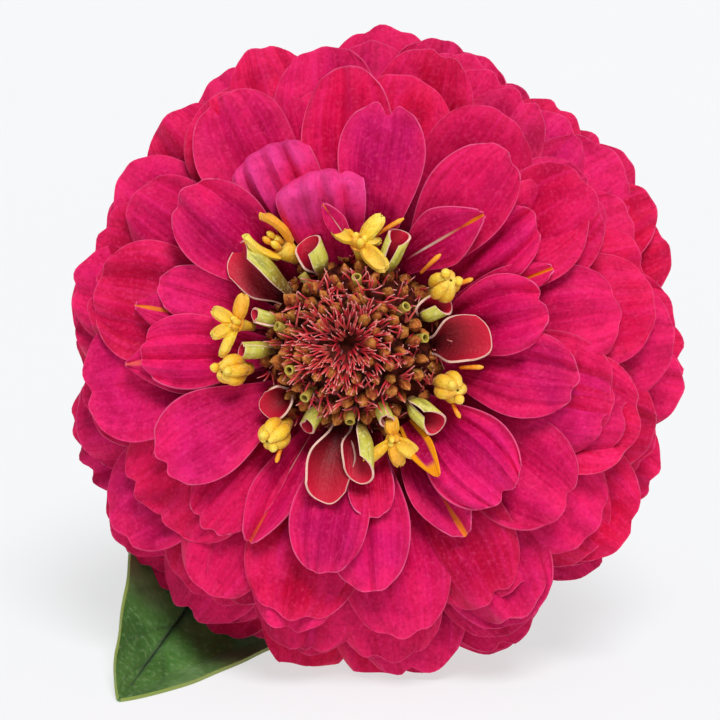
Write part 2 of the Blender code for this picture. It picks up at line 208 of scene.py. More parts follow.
# Yellow disc florets: (angle, radius, size, kind, lobes). Each lobe of an open floret is (the way it
# points as seen from the front, length, half width); the others have lobes of their own.
YELLOW_FLORETS = (
    (33.5, 13.8, 1.35, "bud", ()),
    (86.0, 12.7, 1.2, "open", ((52, 3.5, 0.85), (152, 3.0, 0.8), (318, 3.9, 0.95), (10, 1.6, 0.5))),
    (124.0, 14.8, 1.25, "beak", ()),
    (171.0, 14.6, 1.0, "open", ((78, 3.0, 0.75), (152, 2.8, 0.7), (208, 2.8, 0.65), (246, 3.8, 0.5))),
    (194.0, 14.9, 1.3, "bud", ()),
    (232.0, 14.3, 1.35, "bud", ()),
    (297.5, 13.2, 1.0, "open", ((222, 4.4, 0.55), (98, 2.0, 0.75), (285, 2.6, 0.8), (328, 2.8, 0.85))),
    (339.5, 13.6, 1.35, "bud", ()),
)

# Orange styles: (angle at the foot, radius there, angle at the tip, radius there)
STYLES = (
    (78.0, 13.4, 68.0, 16.2),
    (47.0, 12.0, 46.0, 15.2),
    (31.0, 14.2, 29.5, 16.6),
    (350.5, 13.4, 352.5, 16.2),
    (333.0, 13.9, 329.0, 15.8),
    (238.0, 14.2, 240.5, 16.2),
)
FLORET_FOOT_IN = 2.6  # a yellow floret's foot is this far inside its radius
FLORET_FOOT_HEIGHT = 21.6
FLORET_AIM_OUT = 0.4  # and it points to a place this far outside
FLORET_AIM_HEIGHT = 25.2
STYLE_FOOT_HEIGHT = 23.6
STYLE_TIP_HEIGHT = 24.8

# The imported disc
DISC_CORE = (
    (10.0, 18.6), (9.9, 20.4), (9.2, 21.8), (8.3, 22.8), (7.2, 24.2), (6.0, 25.3), (5.0, 26.1),
    (4.0, 26.7), (3.0, 27.0), (2.0, 26.9), (1.2, 26.2), (0.6, 25.2), (0.2, 25.0),
)  # (radius, height), down into the pit
BUD_COUNT = 165
OPEN_TUBES = 9
FRINGE_RINGS = ((1.0, 11, 1.9), (2.0, 17, 2.2), (3.1, 21, 2.2), (4.3, 22, 2.0))  # (radius, combs, length)
STRAND_RADIUS = 0.17

STEM_RIBS = 8
STEM_HAIRS = 900
# Rows of bracts: (height of the foot, length, bracts, gap to the receptacle, half width)
BRACT_ROWS = ((-6.4, 5.2, 10, 0.55, 2.3), (-5.4, 5.6, 11, 1.0, 3.0), (-6.2, 3.4, 8, 1.45, 2.2))

# The studio, in metres
FLOOR_RADIUS = 7.0
FLOOR_RIM = 1.0  # radius of the sweep at the floor's far edge
FLOOR_GLOW = 0.63
WORLD_STRENGTH = 0.33
SUN_STRENGTH = 2.35
SUN_SOFTNESS = 24.0
SUN_PLACE = (0.22, -0.62, 0.92)


def smooth_step(value):
    """Goes from 0 to 1 with level ends as value does."""
    value = np.clip(value, 0.0, 1.0)
    return value * value * (3.0 - 2.0 * value)


def bezier(points, t):
    a, b, c, d = (np.array(point, float) for point in points)
    s = 1.0 - t
    return s**3 * a + 3 * s * s * t * b + 3 * s * t * t * c + t**3 * d


def polar(radius, angle, height=0.0):
    """Points of the head frame from their radii, angles and heights."""
    turn = np.radians(angle)
    return np.stack(np.broadcast_arrays(radius * np.cos(turn), radius * np.sin(turn), height), axis=-1)


def head_to_world(points):
    points = np.asarray(points, float)
    x, y, z = points[..., 0], points[..., 1], points[..., 2]
    sine, cosine = math.sin(HEAD_TILT), math.cos(HEAD_TILT)
    return np.stack([x, y * sine - z * cosine, y * cosine + z * sine], axis=-1) + HEAD_FOOT


def unit(vector):
    return vector / np.linalg.norm(vector)


def spoke(first, second, turn):
    """The way that lies at a turn, or each of many turns, from the first way to the second."""
    turn = np.asarray(turn)[..., None]
    return first * np.cos(turn) + second * np.sin(turn)


def ways_across(axis, helper):
    """Two unit vectors at right angles to an axis and to each other."""
    first = unit(np.cross(axis, helper))
    return first, np.cross(axis, first)


def random_way(chance):
    return np.array([chance.gauss(0, 1) for _ in range(3)])


def line(start, way, shares):
    """World points at shares of a way from a start in the head frame."""
    return head_to_world(start + np.outer(shares, way))


def blade_grid(spans, columns):
    """Two grids for a blade: reach from 0 at its root to 1, and across from -1 to 1."""
    reach = np.linspace(0.0, 1.0, spans + 1)[:, None] + np.zeros((1, columns))
    return reach, np.linspace(-1.0, 1.0, columns)[None, :] + np.zeros_like(reach)


def srgb(red, green, blue):
    """A linear colour from 0 to 255 screen values."""
    values = [value / 255.0 for value in (red, green, blue)]
    return tuple(v / 12.92 if v < 0.04045 else ((v + 0.055) / 1.055) ** 2.4 for v in values) + (1.0,)


# ---------------------------------------------------------------- meshes


def grid_normals(grid, closed=False):
    along = np.gradient(grid, axis=0)
    if closed:
        across = np.roll(grid, -1, axis=1) - np.roll(grid, 1, axis=1)
    else:
        across = np.gradient(grid, axis=1)
    normals = np.cross(along, across)
    return normals / np.maximum(np.linalg.norm(normals, axis=2, keepdims=True), 1e-9)


def grid_quads(rows, columns, closed):
    """Quads over a grid of points, whose second direction may close on itself."""
    spans = columns if closed else columns - 1
    row, column = np.divmod(np.arange((rows - 1) * spans), spans)
    near, far = row * columns + column, row * columns + (column + 1) % columns
    return np.stack([near, far, far + columns, near + columns], axis=1)


class Shape:
    """Collects the closed bodies of one piece, with named values at its points."""

    def __init__(self):
        self.points = []
        self.faces = []
        self.values = []
        self.count = 0

    def add(self, points, quads, caps, values):
        """Adds a closed body of quads and caps. Its faces are turned to point out."""
        volume = 0.0
        for corners in [points[quads]] + [points[cap][None] for cap in caps]:
            volume += np.sum(np.cross(corners[:, 1:-1], corners[:, 2:]) * corners[:, :1])
        step = -1 if volume < 0 else 1
        for faces in [quads] + [cap[None] for cap in caps]:
            self.faces += [tuple(face) for face in (faces[:, ::step] + self.count).tolist()]
        self.points.append(points)
        self.values.append(values)
        self.count += len(points)

    def sheet(self, grid, thickness, closed=False, **values):
        """Gives a grid in the world a thickness. Each value is a number or a grid of its own."""
        rows, columns, _ = grid.shape
        half = np.broadcast_to(thickness, (rows, columns))[..., None] / 2
        offset = grid_normals(grid, closed) * half
        points = np.concatenate([(grid + offset).reshape(-1, 3), (grid - offset).reshape(-1, 3)])
        under = rows * columns
        quads = grid_quads(rows, columns, closed)
        last = under - columns
        edge = []
        for column in range(columns if closed else columns - 1):
            beyond = (column + 1) % columns
            edge += [(beyond, column), (last + column, last + beyond)]
        for start in [] if closed else range(0, last, columns):
            end = start + columns
            edge += [(start, end), (end + columns - 1, end - 1)]
        a, b = np.array(edge).T
        walls = np.stack([a, b, b + under, a + under], axis=1)
        quads = np.concatenate([quads, quads[:, ::-1] + under, walls])
        flat = {name: np.tile(np.broadcast_to(v, (rows, columns)).ravel(), 2) for name, v in values.items()}
        flat["side"] = np.repeat([1.0, 0.0], under)
        self.add(points, quads, [], flat)

    def rings(self, rings, **values):
        """Closes a stack of rings, an array of (levels, sides, 3), with a flat cap at both ends."""
        levels, sides, _ = rings.shape
        caps = [np.arange(sides)[::-1], np.arange(sides) + (levels - 1) * sides]
        values["along"] = np.linspace(0.0, 1.0, levels)[:, None]
        flat = {name: np.broadcast_to(v, (levels, sides)).ravel() for name, v in values.items()}
        self.add(rings.reshape(-1, 3), grid_quads(levels, sides, True), caps, flat)

    def tube(self, path, radii, sides=6, **values):
        """A round strand along a path of points, with a radius at each."""
        ahead = np.gradient(path, axis=0)
        ahead /= np.linalg.norm(ahead, axis=1, keepdims=True)
        helper = UP if abs(ahead[0][2]) < 0.9 else np.array([1.0, 0.0, 0.0])
        first = np.cross(ahead, helper)
        first /= np.linalg.norm(first, axis=1, keepdims=True)
        second = np.cross(ahead, first)
        turns = np.linspace(0.0, 2 * math.pi, sides, endpoint=False)
        circle = spoke(first[:, None], second[:, None], turns)
        radii = np.broadcast_to(radii, len(path))[:, None, None]
        self.rings(path[:, None] + circle * radii, **values)

    def piece(self, name, finish, slot, *replaced):
        """Makes the object, in metres, and hands it to the frame."""
        mesh = bpy.data.meshes.new(name)
        mesh.from_pydata((np.concatenate(self.points) * MM).tolist(), [], self.faces)
        names = sorted({key for values in self.values for key in values})
        for key in names:
            parts = [values.get(key, np.zeros(len(p))) for values, p in zip(self.values, self.points)]
            attribute = mesh.attributes.new(key, "FLOAT", "POINT")
            attribute.data.foreach_set("value", np.concatenate(parts).astype(np.float32))
        mesh.shade_smooth()
        mesh.set_sharp_from_angle(angle=math.radians(60.0))
        mesh.materials.append(finish)
        obj = bpy.data.objects.new(name, mesh)
        bpy.context.scene.collection.objects.link(obj)
        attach(obj, "root")
        if replaced:
            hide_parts(*replaced)
        return obj


# ---------------------------------------------------------------- materials


class Look:
    """A material with one Principled shader, and short calls for the nodes that feed it."""

    def __init__(self, name, **sockets):
        self.material = bpy.data.materials.new(name)
        self.material.use_nodes = True
        self.tree = self.material.node_tree
        self.shader = self.tree.nodes["Principled BSDF"]
        for socket, value in sockets.items():
            self.shader.inputs[socket.replace("_", " ")].default_value = value

    def node(self, kind, inputs=(), **settings):
        """Adds a node. Inputs are sockets to link or plain values, by position."""
        made = self.tree.nodes.new(kind)
        for key, value in settings.items():
            setattr(made, key, value)
        for index, value in enumerate(inputs):
            self.feed(value, made.inputs[index])
        return made

    def feed(self, value, socket):
        if isinstance(value, bpy.types.NodeSocket):
            self.tree.links.new(value, socket)
        elif value is not None:
            socket.default_value = value

    def set(self, socket, value):
        self.feed(value, self.shader.inputs[socket])

    def field(self, name):
        """A named value of the mesh."""
        return self.node("ShaderNodeAttribute", attribute_name=name).outputs["Fac"]

    def margin(self):
        """How near a blade's sides or its end a point is, up to 1 on the edge."""
        return self.calc("MAXIMUM", self.calc("ABSOLUTE", self.field("across")), self.field("end"))

    def calc(self, operation, first, second=None):
        return self.node("ShaderNodeMath", (first, second), operation=operation).outputs[0]

    def noise(self, scale, detail=2.0, vector=None, distortion=0.0):
        made = self.node("ShaderNodeTexNoise")
        made.inputs["Scale"].default_value = scale
        made.inputs["Detail"].default_value = detail
        made.inputs["Distortion"].default_value = distortion
        self.feed(vector or self.node("ShaderNodeTexCoord").outputs["Object"], made.inputs["Vector"])
        return made.outputs["Fac"]

    def spread(self, value, low, high, first=0.0, last=1.0):
        """A value between low and high, smoothly taken to first and last."""
        made = self.node("ShaderNodeMapRange", interpolation_type="SMOOTHSTEP")
        for socket, number in zip(("Value", "From Min", "From Max", "To Min", "To Max"),
                                  (value, low, high, first, last)):
            self.feed(number, made.inputs[socket])
        return made.outputs[0]

    def ramp(self, factor, *stops):
        made = self.node("ShaderNodeValToRGB", (factor,))
        elements = made.color_ramp.elements
        while len(elements) < len(stops):
            elements.new(0.5)
        for element, (position, colour) in zip(elements, stops):
            element.position = position
            element.color = srgb(*colour)
        return made.outputs[0]

    def mix(self, factor, first, second):
        """Mixes two colours, each a socket or screen values."""
        made = self.node("ShaderNodeMix", data_type="RGBA", blend_type="MIX")
        self.feed(factor, made.inputs[0])
        for colour, socket in ((first, made.inputs[6]), (second, made.inputs[7])):
            self.feed(srgb(*colour) if isinstance(colour, tuple) else colour, socket)
        return made.outputs[2]

    def coats(self, colour, *layers):
        """Lays colours over one another. Each layer is (value, low, high, most, colour): it covers
        none of what is below where its value is low, and the share most where it is high."""
        for value, low, high, most, over in layers:
            colour = self.mix(self.spread(value, low, high, 0.0, most), colour, over)
        return colour

    def finish(self, colour, height, strength, distance):
        """Sets the colour and a bump by a height, and gives the material."""
        self.set("Base Color", colour)
        made = self.node("ShaderNodeBump")
        made.inputs["Strength"].default_value = strength
        made.inputs["Distance"].default_value = distance
        self.feed(height, made.inputs["Height"])
        self.set("Normal", made.outputs[0])
        return self.material


def lengthwise_veins(look, lines):
    """Noise drawn out along a petal, which runs together at its foot as real veins do."""
    across = look.calc("MULTIPLY", look.field("across"), lines)
    along = look.calc("MULTIPLY", look.field("along"), 1.6)
    drawn_out = look.node("ShaderNodeCombineXYZ", (across, along, look.field("seed")))
    return look.noise(1.0, 3.0, drawn_out.outputs[0])


def petal_look():
    look = Look("petal_velvet", Roughness=0.5, Specular_IOR_Level=0.2, Specular_Tint=srgb(255, 120, 170),
                Sheen_Weight=0.2, Sheen_Roughness=0.35, Sheen_Tint=srgb(255, 90, 180),
                Subsurface_Weight=0.1, Subsurface_Scale=0.001, Subsurface_Radius=(1.0, 0.1, 0.25))
    along, tone, margin = look.field("along"), look.field("tone"), look.margin()
    shade = look.calc("FRACT", look.field("seed"))
    veins = lengthwise_veins(look, 11.0)
    patches, mottle, grain = look.noise(150.0, 2.0), look.noise(520.0, 3.0), look.noise(2400.0, 2.0)
    # Both ramps run dark at the root. That is partly the petals' own deeper colour there and partly painted
    # shade where the petals overlap and hide one another's feet.
    crimson = look.ramp(along, (0.0, (96, 0, 16)), (0.3, (160, 0, 32)), (0.62, (206, 4, 50)),
                        (1.0, (222, 16, 66)))
    magenta = look.ramp(along, (0.0, (104, 0, 24)), (0.3, (158, 0, 58)), (0.62, (204, 14, 104)),
                        (1.0, (230, 36, 124)))
    colour = look.coats(
        look.mix(tone, crimson, magenta),
        (shade, 0.55, 1.0, 0.42, (136, 0, 34)),
        (shade, 0.4, 0.0, 0.25, (246, 40, 112)),
        (margin, 0.6, 1.0, 0.4, (238, 44, 98)),
    )
    # Petals whose tone is above 1, the curled ones, get a painted highlight towards their ends, where their
    # surfaces turn up to the light.
    painted_highlight = look.calc("MULTIPLY", look.spread(tone, 1.0, 1.3, 0.0, 0.62), look.spread(along, 0.35, 0.7))
    colour = look.coats(
        look.mix(painted_highlight, colour, (252, 84, 166)),
        (patches, 0.45, 0.66, 0.6, (238, 32, 98)),
        (patches, 0.46, 0.3, 0.4, (150, 0, 50)),
        (veins, 0.42, 0.72, 0.26, (246, 44, 130)),
        (veins, 0.5, 0.28, 0.16, (140, 0, 36)),
        (mottle, 0.55, 0.36, 0.26, (158, 0, 46)),
        (grain, 0.5, 0.8, 0.26, (250, 80, 140)),
        (grain, 0.46, 0.25, 0.3, (120, 0, 40)),
    )
    under = look.ramp(along, (0.0, (120, 108, 50)), (0.3, (160, 40, 62)), (1.0, (196, 34, 82)))
    under = look.coats(under, (veins, 0.45, 0.7, 0.4, (214, 84, 120)))
    colour = look.mix(look.field("side"), under, colour)
    colour = look.coats(colour, (margin, 0.968, 1.0, look.field("paleness"), (244, 110, 160)))
    orange = look.calc("MULTIPLY", look.spread(margin, 0.5, 0.72),
                       look.spread(look.field("paleness"), 0.92, 0.98))
    colour = look.mix(orange, colour, (250, 160, 20))
    colour = look.mix(midline_stripe(look, along), colour, look.ramp(
        along, (0.0, (150, 90, 60)), (0.3, (222, 190, 178)), (0.55, (214, 150, 130)),
        (0.72, (196, 60, 30)), (0.84, (236, 124, 6)), (1.0, (250, 150, 10))))
    height = look.calc("ADD", look.calc("MULTIPLY", veins, 1.6), look.calc("MULTIPLY", grain, 0.35))
    return look.finish(colour, look.calc("ADD", height, mottle), 0.55, 0.00022)


def midline_stripe(look, along):
    """Where a petal's pale and orange midline shows. It widens towards the tip."""
    width = look.spread(along, 0.7, 1.0, 0.06, 0.26)
    share = look.calc("DIVIDE", look.calc("ABSOLUTE", look.field("across")), width)
    stripe = look.calc("MULTIPLY", look.field("stripe"), look.spread(share, 1.0, 0.55))
    return look.calc("MULTIPLY", stripe, look.spread(along, 0.05, 0.3))


def ray_look():
    """Young rays: crimson velvet inside, a white rim, and a hairy yellow-green back."""
    look = Look("young_ray_velvet", Roughness=0.55, Specular_IOR_Level=0.3, Sheen_Weight=0.04,
                Sheen_Roughness=0.5, Sheen_Tint=srgb(255, 150, 150), Subsurface_Weight=0.05,
                Subsurface_Scale=0.0008)
    along = look.field("along")
    veins = lengthwise_veins(look, 7.0)
    grain = look.noise(2400.0, 3.0)
    inside = look.ramp(along, (0.0, (60, 0, 6)), (0.45, (128, 0, 22)), (1.0, (206, 4, 52)))
    inside = look.coats(inside, (grain, 0.5, 0.78, 0.3, (196, 30, 60)))
    back = look.ramp(along, (0.0, (96, 44, 24)), (0.3, (146, 118, 44)), (0.6, (192, 184, 62)),
                     (1.0, (214, 206, 96)))
    back = look.coats(back, (veins, 0.5, 0.3, 0.55, (116, 112, 34)),
                      (grain, 0.5, 0.75, 0.5, (240, 236, 170)))
    colour = look.coats(look.mix(look.field("side"), back, inside),
                        (look.margin(), 0.966, 0.99, 0.9, (244, 200, 186)))
    return look.finish(colour, look.calc("ADD", grain, veins), 0.6, 0.0002)


def floret_look():
    look = Look("floret_yellow_velvet", Roughness=0.5, Specular_IOR_Level=0.35, Sheen_Weight=0.1,
                Subsurface_Weight=0.2, Subsurface_Scale=0.001)
    fuzz, patches = look.noise(3200.0, 3.0), look.noise(700.0, 3.0)
    colour = look.ramp(look.field("along"), (0.0, (140, 84, 20)), (0.3, (228, 160, 24)),
                       (0.62, (255, 206, 40)), (1.0, (255, 226, 92)))
    colour = look.coats(
        colour,
        (patches, 0.5, 0.32, 0.45, (236, 156, 16)),
        (fuzz, 0.5, 0.74, 0.45, (255, 238, 150)),
        (fuzz, 0.45, 0.25, 0.35, (196, 120, 10)),
    )
    return look.finish(look.mix(look.field("dark"), colour, (244, 150, 6)), fuzz, 0.7, 0.00025)


def bud_look():
    """Closed disc florets: tan and olive, fuzzy, with russet between. Their feet run near black, which is
    painted shade in the gaps between the buds.
    """
    look = Look("disc_bud_fuzz", Roughness=0.75, Specular_IOR_Level=0.15, Sheen_Weight=0.1,
                Sheen_Tint=srgb(255, 190, 110))
    fuzz, patches = look.noise(2600.0, 4.0), look.noise(520.0, 2.0)
    colour = look.ramp(look.field("along"), (0.0, (24, 4, 2)), (0.45, (110, 46, 16)),
                       (0.8, (196, 112, 48)), (1.0, (216, 140, 70)))
    colour = look.coats(
        colour,
        (patches, 0.56, 0.7, 0.5, (112, 96, 30)),
        (patches, 0.5, 0.34, 0.7, (150, 44, 34)),
        (fuzz, 0.52, 0.72, 0.6, (230, 168, 96)),
        (fuzz, 0.45, 0.28, 0.7, (56, 22, 8)),
    )
    return look.finish(colour, fuzz, 0.9, 0.0003)


def grown_look(look, noise, stops, layers, strength, distance):
    """Colour that changes along a piece, with layers that follow one noise, which is also its bump."""
    colour = look.ramp(look.field("along"), *stops)
    colour = look.coats(colour, *((noise, *layer) for layer in layers))
    return look.finish(colour, noise, strength, distance)


def style_look():
    look = Look("style_orange", Roughness=0.45, Subsurface_Weight=0.15, Subsurface_Scale=0.001)
    stops = ((0.0, (206, 96, 10)), (0.6, (244, 140, 8)), (1.0, (252, 176, 34)))
    return grown_look(look, look.noise(2800.0, 2.0), stops, ((0.5, 0.75, 0.5, (255, 206, 90)),), 0.5, 0.0002)


def fringe_look():
    look = Look("disc_fringe_rose", Roughness=0.4, Specular_IOR_Level=0.4, Sheen_Weight=0.05,
                Subsurface_Weight=0.1, Subsurface_Scale=0.0005)
    # The strands' dark roots are painted shade down among the buds. Their pale tips are partly their own
    # pale pink and partly painted highlight.
    stops = ((0.0, (56, 0, 6)), (0.35, (174, 16, 34)), (0.7, (226, 58, 72)), (1.0, (250, 172, 162)))
    layers = ((0.5, 0.7, 0.55, (232, 110, 92)), (0.48, 0.3, 0.5, (150, 26, 32)))
    return grown_look(look, look.noise(500.0, 2.0), stops, layers, 0.3, 0.0001)


def mouth_look():
    """Tiny green tubes of disc florets that are about to open."""
    look = Look("disc_tube_green", Roughness=0.55, Subsurface_Weight=0.1, Subsurface_Scale=0.0005)
    stops = ((0.0, (60, 24, 4)), (0.6, (126, 92, 20)), (1.0, (186, 164, 60)))
    layers = ((0.5, 0.75, 0.5, (206, 206, 130)),)
    return grown_look(look, look.noise(2500.0, 3.0), stops, layers, 0.5, 0.0002)


def pit_look():
    look = Look("disc_shadow", Roughness=0.8, Specular_IOR_Level=0.15)
    fuzz = look.noise(1500.0, 3.0)
    return look.finish(look.ramp(fuzz, (0.3, (36, 3, 5)), (0.7, (98, 32, 18))), fuzz, 0.8, 0.0004)


def hair_look():
    look = Look("stem_hair", Roughness=0.5, Sheen_Weight=0.2)
    shade = look.noise(200.0, 2.0)
    return look.finish(look.ramp(shade, (0.3, (176, 182, 130)), (0.7, (226, 228, 196))), shade, 0.2, 0.0001)


def leaf_look():
    look = Look("leaf_blade_green", Roughness=0.42, Specular_IOR_Level=0.45, Sheen_Weight=0.12,
                Sheen_Roughness=0.5, Subsurface_Weight=0.06, Subsurface_Scale=0.001)
    vein, cells, patches = look.field("vein"), look.noise(1500.0, 3.0), look.noise(70.0, 3.0)
    # The pale patches are partly the leaf's own mottling and partly painted sheen.
    colour = look.ramp(patches, (0.32, (46, 94, 30)), (0.5, (74, 124, 52)), (0.7, (126, 166, 104)))
    colour = look.coats(colour, (cells, 0.5, 0.75, 0.3, (148, 180, 124)),
                        (cells, 0.45, 0.25, 0.4, (34, 74, 20)))
    # Darker veins are partly their own colour and partly painted shade in the sunken midrib and side veins.
    colour = look.mix(look.calc("MULTIPLY", vein, 0.8), colour, (20, 50, 14))
    under = look.mix(look.calc("MULTIPLY", vein, 0.7), (112, 142, 84), (150, 170, 104))
    colour = look.mix(look.field("side"), colour, under)
    edge = look.calc("ABSOLUTE", look.field("across"))
    look.set("Roughness", look.spread(cells, 0.3, 0.7, 0.36, 0.56))
    return look.finish(look.coats(colour, (edge, 0.965, 1.0, 0.8, (140, 156, 62))), cells, 0.45, 0.0003)


def green_look(name, dark, light, hair):
    """Stem, bracts and receptacle: streaked green with a fine pale down."""
    look = Look(name, Roughness=0.55, Specular_IOR_Level=0.35, Sheen_Weight=0.2,
                Subsurface_Weight=0.06, Subsurface_Scale=0.001)
    down = look.noise(2200.0, 3.0)
    colour = look.ramp(look.noise(300.0, 3.0, distortion=0.4), (0.32, dark), (0.68, light))
    return look, look.coats(colour, (down, 0.52, 0.75, 0.5, hair)), down


def stem_look():
    look, colour, down = green_look("stem_ribbed_green", (84, 104, 42), (134, 150, 78), (196, 202, 150))
    colour = look.coats(colour, (look.field("rib"), 0.35, 0.9, 0.4, (150, 168, 98)))
    return look.finish(look.mix(look.field("cut"), colour, (206, 208, 158)), down, 0.5, 0.0003)


def bract_look():
    """Bracts of the cup: green scales with a dark fringed rim."""
    look, colour, down = green_look("bract_scale_green", (66, 92, 34), (116, 136, 62), (176, 188, 120))
    colour = look.coats(colour, (look.margin(), 0.8, 0.93, 0.85, (52, 34, 22)))
    return look.finish(colour, down, 0.6, 0.0003)


def receptacle_look():
    look, colour, down = green_look("receptacle_flesh", (96, 112, 50), (150, 158, 90), (190, 196, 140))
    return look.finish(colour, down, 0.5, 0.0003)


# ---------------------------------------------------------------- petals


def petal_plan(petal, reach, across):
    """Flat shares of a petal's length and half width, at each reach and across."""
    low = np.clip(reach / petal.widest, 0.0, 1.0)
    cap = np.clip((reach - petal.widest) / (1.0 - petal.widest), 0.0, 1.0)
    width = petal.foot + (1.0 - petal.foot) * smooth_step(low)
    round_end = np.sqrt(1.0 - 0.5 * cap**2)
    pointed = 1.0 - 0.94 * cap**1.5
    sideways = across * np.where(reach < petal.widest, width,
                                 round_end * (1.0 - petal.point) + pointed * petal.point)
    bulge = np.sqrt(1.0 - 0.5 * across**2) * (1.0 - petal.point) + petal.point
    forward = np.minimum(reach, petal.widest) + (1.0 - petal.widest) * cap * bulge
    return forward, sideways


def petal_relief(petal, reach, across, chance):
    """Height of a petal's folds, waves and bent end over its plain surface."""
    open_part = smooth_step(reach * 1.6)
    relief = petal.cup * across**2 * smooth_step(reach * 1.3)
    relief = relief + petal.twist * across * reach
    for share in (1.0, 0.55, 0.35):
        count = petal.fold_count * (0.6 + 0.9 * chance.random()) / share**0.5
        phase = chance.uniform(0.0, 2 * math.pi)
        sway = chance.uniform(-0.8, 0.8)
        wave = np.cos(math.pi * count * across + phase + sway * reach)
        relief = relief + petal.folds * share * 0.75 * open_part * (1.0 - 0.5 * across**2) * wave
    ruffle = chance.uniform(0.1, 0.3)
    phase = chance.uniform(0.0, 2 * math.pi)
    relief = relief + ruffle * across**2 * open_part * np.sin(7.0 * reach + phase + 1.5 * across)
    relief = relief - petal.droop * smooth_step((reach - 0.6) / 0.4) * reach
    return relief + petal.crease * (np.minimum(np.abs(across) * 1.6, 1.0) - 1.0) * open_part


def curl_under(petal, spine, forward, across):
    """Plan distance and height along a petal whose end rolls under itself."""
    length = petal.tip - petal.root
    radius = petal.curl
    bend_from = petal.tip - radius - 1.3 * across**2
    run = petal.root + length * forward * 1.2
    turn = np.clip((run - bend_from) / radius, 0.0, 2.7)
    distance = np.where(run < bend_from, run, bend_from + radius * np.sin(turn))
    height = spine(np.minimum(run, bend_from)) - radius * (1.0 - np.cos(turn))
    return distance, height


def add_petal(shape, petal, spine, chance, spans, columns, paleness=0.5):
    """Adds one petal. Its spine gives the height of its middle surface at a radius."""
    reach, across = blade_grid(spans, columns)
    reach = 1.0 - (1.0 - reach) ** 1.25
    across = np.sin(0.5 * math.pi * across)
    forward, sideways = petal_plan(petal, reach, across)
    end = np.clip((reach - petal.widest) / (1.0 - petal.widest), 0.0, 1.0)
    length = petal.tip - petal.root
    for place, depth in petal.notches:
        forward = forward - end**4 * depth / length * np.exp(-(((across - place) / 0.2) ** 2))
    frill = chance.uniform(0.0, 2 * math.pi)
    forward = forward - end**6 * 0.09 / length * (1.0 + np.sin(9.0 * across + frill))
    root_angle = petal.angle if petal.root_angle is None else petal.root_angle
    root, tip = polar(petal.root, root_angle), polar(petal.tip, petal.angle)
    axis = unit(tip - root)
    side = np.array([-axis[1], axis[0], 0.0])
    bend = chance.uniform(-0.35, 0.35) * reach**2
    sway = sideways * petal.half_width + bend
    relief = petal_relief(petal, reach, across, chance)
    if petal.curl:
        distance, height = curl_under(petal, spine, forward, across)
        grid = root + axis * (distance - petal.root)[..., None] + side * sway[..., None]
        height = height + relief * np.clip(1.0 - 0.5 * end, 0.0, 1.0)
    else:
        grid = root + np.linalg.norm(tip - root) * axis * forward[..., None] + side * sway[..., None]
        height = spine(np.hypot(grid[..., 0], grid[..., 1])) + relief
    grid[..., 2] = height
    grid[..., 1] *= 1.0 + (ROW_TALLER - 1.0) * np.clip((petal.tip - 30.0) / 3.0, 0.0, 1.0) * reach
    world = head_to_world(grid)
    world[..., 2] = np.maximum(world[..., 2], GROUND_CLEAR)
    rim = np.maximum(np.abs(across), end)
    thickness = PETAL_THICKNESS * (1.0 - 0.45 * smooth_step((rim - 0.8) / 0.2))
    shape.sheet(world, thickness, along=reach, across=across, end=end, tone=petal.tone,
                seed=chance.uniform(0.0, 60.0), stripe=petal.stripe, paleness=paleness)


def row_spine(tip_radius, tip_height, root_height, lift):
    def spine(radius):
        share = (radius - PETAL_ROOT_RADIUS) / (tip_radius - PETAL_ROOT_RADIUS)
        bulge = ROW_ARCH * np.sin(math.pi * np.clip(share, 0.0, 1.15))
        return root_height + (tip_height - root_height) * share + bulge + lift * share

    return spine


def inner_spine(level):
    def spine(radius):
        share = (radius - PETAL_ROOT_RADIUS) / (INNER_TIP[0] - PETAL_ROOT_RADIUS)
        rise = INNER_ROOT_HEIGHT + (INNER_TIP[1] - INNER_ROOT_HEIGHT) * share
        step = LEVEL_STEP_ROOT + (LEVEL_STEP_TIP - LEVEL_STEP_ROOT) * np.minimum(share, 1.0)
        return rise + INNER_ARCH * np.sin(math.pi * np.clip(share, 0.0, 1.1)) + level * step

    return spine


def random_notches(chance, width):
    """Clefts for a petal's end: none, one in the middle, or two."""
    kind = chance.random()
    if kind < 0.35:
        return ()
    if kind < 0.8:
        return ((chance.uniform(-0.3, 0.3), chance.uniform(0.4, 1.2) * width / 6.0),)
    return (
        (chance.uniform(-0.6, -0.3), chance.uniform(0.3, 0.7)),
        (chance.uniform(0.3, 0.6), chance.uniform(0.3, 0.7)),
    )


def row_petal(chance, angle, tip):
    """A petal of the outer rows, each a little different."""
    width = chance.uniform(5.7, 7.4)
    return Petal(
        angle=angle + chance.uniform(-3.0, 3.0),
        tip=tip + chance.uniform(-1.6, 1.3),
        half_width=width,
        tone=np.clip(chance.gauss(0.25, 0.25), 0.0, 0.9),
        notches=random_notches(chance, width),
        folds=chance.uniform(0.4, 0.85),
        fold_count=chance.uniform(1.0, 2.0),
        cup=chance.uniform(-1.2, 1.2),
        droop=chance.uniform(-0.4, 2.6),
        twist=chance.uniform(-0.8, 0.8),
        widest=chance.uniform(0.66, 0.76),
        foot=0.34,
    )


